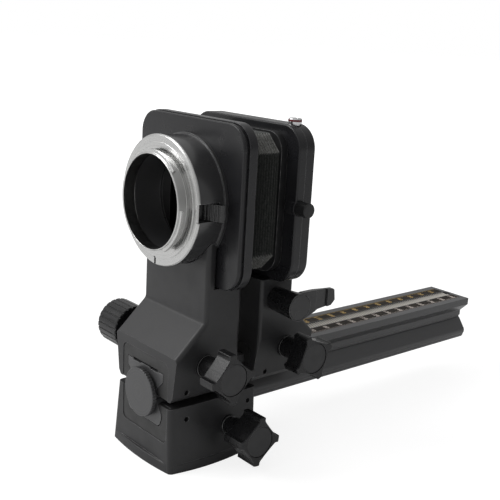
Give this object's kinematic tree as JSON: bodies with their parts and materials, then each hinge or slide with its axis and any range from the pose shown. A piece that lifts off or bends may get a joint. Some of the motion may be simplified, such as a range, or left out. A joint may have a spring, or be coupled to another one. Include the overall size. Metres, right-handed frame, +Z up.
{
  "type": "macro bellows unit",
  "caption": "Macro bellows unit: camera and lens standards that slide on a rack rail by pinion knobs, with clamps, bellows and a tripod block.",
  "frame": {"origin": "centre of the tripod socket, on the underside of the tripod block", "axes": "+Z up, +Y along the rail from the camera's side to the lens's side, parallel to the light axis, +X towards the clamp knobs"},
  "size_m": [0.0979, 0.2334, 0.1634],
  "materials": {
    "casting_black": "satin",
    "head_black": "satin",
    "plate_black": "matte",
    "knob_black": "satin",
    "cap_black": "satin",
    "rail_black": "satin",
    "rack_steel": "satin",
    "steel": "satin",
    "strip_black": "satin",
    "disc_black": "satin",
    "brass": "satin",
    "chrome": "polished",
    "mount_black": "satin",
    "ring_red": "satin",
    "frame_dark": "matte",
    "bellows_black": "matte",
    "screw_black": "satin"
  },
  "bodies": {
    "tripod_block": {"block_body": "casting_black", "block_end_plates": "plate_black", "tripod_bush": "brass", "block_gib": "brass", "block_gib_screws": "screw_black", "block_clamp_ring": "mount_black"},
    "block_clamp": {"block_clamp_knob": "knob_black", "block_clamp_cap": "cap_black", "block_clamp_screw": "steel"},
    "block_shoe": {"block_clamp_shoe": "brass"},
    "rail": {"rail_beam": "rail_black", "rail_rack": "rack_steel", "scale_strip_right": "strip_black", "scale_strip_left": "strip_black", "rail_end_plug": "steel"},
    "near_disc": {"rail_end_disc": "disc_black"},
    "camera_standard": {"camera_base": "casting_black", "camera_end_plates": "plate_black", "camera_gib": "brass", "camera_gib_screws": "screw_black", "camera_shaft_bush": "brass", "camera_clamp_ring": "mount_black", "camera_head_near": "head_black", "camera_head_far": "head_black", "camera_drum": "mount_black", "bellows_rear_frame": "frame_dark", "bellows": "bellows_black"},
    "camera_drive": {"camera_pinion": "steel", "camera_drive_knob": "knob_black"},
    "camera_clamp": {"camera_clamp_knob": "knob_black", "camera_clamp_cap": "cap_black", "camera_clamp_sleeve": "mount_black"},
    "camera_mount": {"mount_flange": "chrome", "mount_carrier": "mount_black", "mount_screws": "steel"},
    "mount_lever": {"mount_lever": "mount_black"},
    "lens_standard": {"lens_base": "casting_black", "lens_end_plates": "plate_black", "lens_gib": "brass", "lens_gib_screws": "screw_black", "lens_shaft_bush": "brass", "lens_clamp_ring": "mount_black", "lens_head_near": "head_black", "lens_head_far": "head_black", "bellows_front_frame": "frame_dark", "lens_mount_ring": "chrome", "lens_mount_screws": "steel", "cable_socket": "chrome", "cable_socket_ring": "ring_red"},
    "lens_drive": {"lens_pinion": "steel", "lens_drive_knob": "knob_black"},
    "lens_clamp": {"lens_clamp_knob": "knob_black", "lens_clamp_cap": "cap_black", "lens_clamp_sleeve": "mount_black"},
    "head_lock": {"head_lock_lever": "knob_black"},
    "release_button": {"lens_release_button": "knob_black"},
    "lock_pin": {"lens_lock_pin": "steel"},
    "cable_plunger": {"cable_plunger": "steel"},
    "aperture_lever": {"aperture_lever": "steel"}
  },
  "joints": [
    {"name": "block_clamp_turn", "type": "hinge", "parent": "tripod_block", "child": "block_clamp", "pos_m": [0.03, 0.0095, 0.0172], "axis": [1, 0, 0], "range_deg": [0, 270]},
    {"name": "block_shoe_lift", "type": "slide", "parent": "tripod_block", "child": "block_shoe", "axis": [0, 0, 1], "range_m": [-0.0003, 0]},
    {"name": "rail_slide", "type": "slide", "parent": "tripod_block", "child": "rail", "axis": [0, 1, 0], "range_m": [-0.178, 0]},
    {"name": "near_disc_turn", "type": "hinge", "parent": "rail", "child": "near_disc", "pos_m": [0, -0.024, 0.0342], "axis": [0, 1, 0], "continuous": true},
    {"name": "camera_slide", "type": "slide", "parent": "rail", "child": "camera_standard", "axis": [0, 1, 0], "range_m": [0, 0.0055]},
    {"name": "camera_drive_turn", "type": "hinge", "parent": "camera_standard", "child": "camera_drive", "pos_m": [0, -0.0073, 0.05109], "axis": [1, 0, 0], "range_deg": [-70, 5]},
    {"name": "camera_clamp_turn", "type": "hinge", "parent": "camera_standard", "child": "camera_clamp", "pos_m": [0.04, -0.0073, 0.05109], "axis": [1, 0, 0], "range_deg": [0, 270]},
    {"name": "camera_mount_turn", "type": "hinge", "parent": "camera_standard", "child": "camera_mount", "pos_m": [0, -0.01, 0.1244], "axis": [0, 1, 0], "range_deg": [-90, 90]},
    {"name": "mount_lever_swing", "type": "hinge", "parent": "camera_standard", "child": "mount_lever", "pos_m": [0.0272, -0.0097, 0.1237], "axis": [0, 0, 1], "range_deg": [0, 8], "stiffness_Nm_per_rad": 0.2},
    {"name": "lens_slide", "type": "slide", "parent": "rail", "child": "lens_standard", "axis": [0, 1, 0], "range_m": [-0.0055, 0.1465], "deforming": ["bellows"]},
    {"name": "lens_drive_turn", "type": "hinge", "parent": "lens_standard", "child": "lens_drive", "pos_m": [0, 0.0423, 0.05109], "axis": [1, 0, 0], "range_deg": [-1765, 70]},
    {"name": "lens_clamp_turn", "type": "hinge", "parent": "lens_standard", "child": "lens_clamp", "pos_m": [0.04, 0.0423, 0.05109], "axis": [1, 0, 0], "range_deg": [0, 270]},
    {"name": "head_lock_turn", "type": "hinge", "parent": "lens_standard", "child": "head_lock", "pos_m": [0.038, 0.0327, 0.0773], "axis": [1, 0, 0], "range_deg": [-30, 10]},
    {"name": "release_press", "type": "slide", "parent": "lens_standard", "child": "release_button", "axis": [-1, 0, 0], "range_m": [0, 0.002], "stiffness_N_per_m": 600},
    {"name": "lock_pin_draw", "type": "slide", "parent": "lens_standard", "child": "lock_pin", "axis": [0, -1, 0], "range_m": [0, 0.0012]},
    {"name": "cable_press", "type": "slide", "parent": "lens_standard", "child": "cable_plunger", "axis": [0, 0, -1], "range_m": [0, 0.005], "stiffness_N_per_m": 300},
    {"name": "aperture_turn", "type": "hinge", "parent": "lens_standard", "child": "aperture_lever", "pos_m": [0, 0.034, 0.1244], "axis": [0, 1, 0], "range_deg": [0, 10]}
  ],
  "couplings": [
    {"joint": "block_shoe_lift", "follows": "block_clamp_turn", "m_per_rad": -0.000053052},
    {"joint": "camera_drive_turn", "follows": "camera_slide", "rad_per_m": -208.82},
    {"joint": "lens_drive_turn", "follows": "lens_slide", "rad_per_m": -208.82},
    {"joint": "lock_pin_draw", "follows": "release_press", "ratio": 0.6},
    {"joint": "aperture_turn", "follows": "cable_press", "rad_per_m": 34.4}
  ]
}
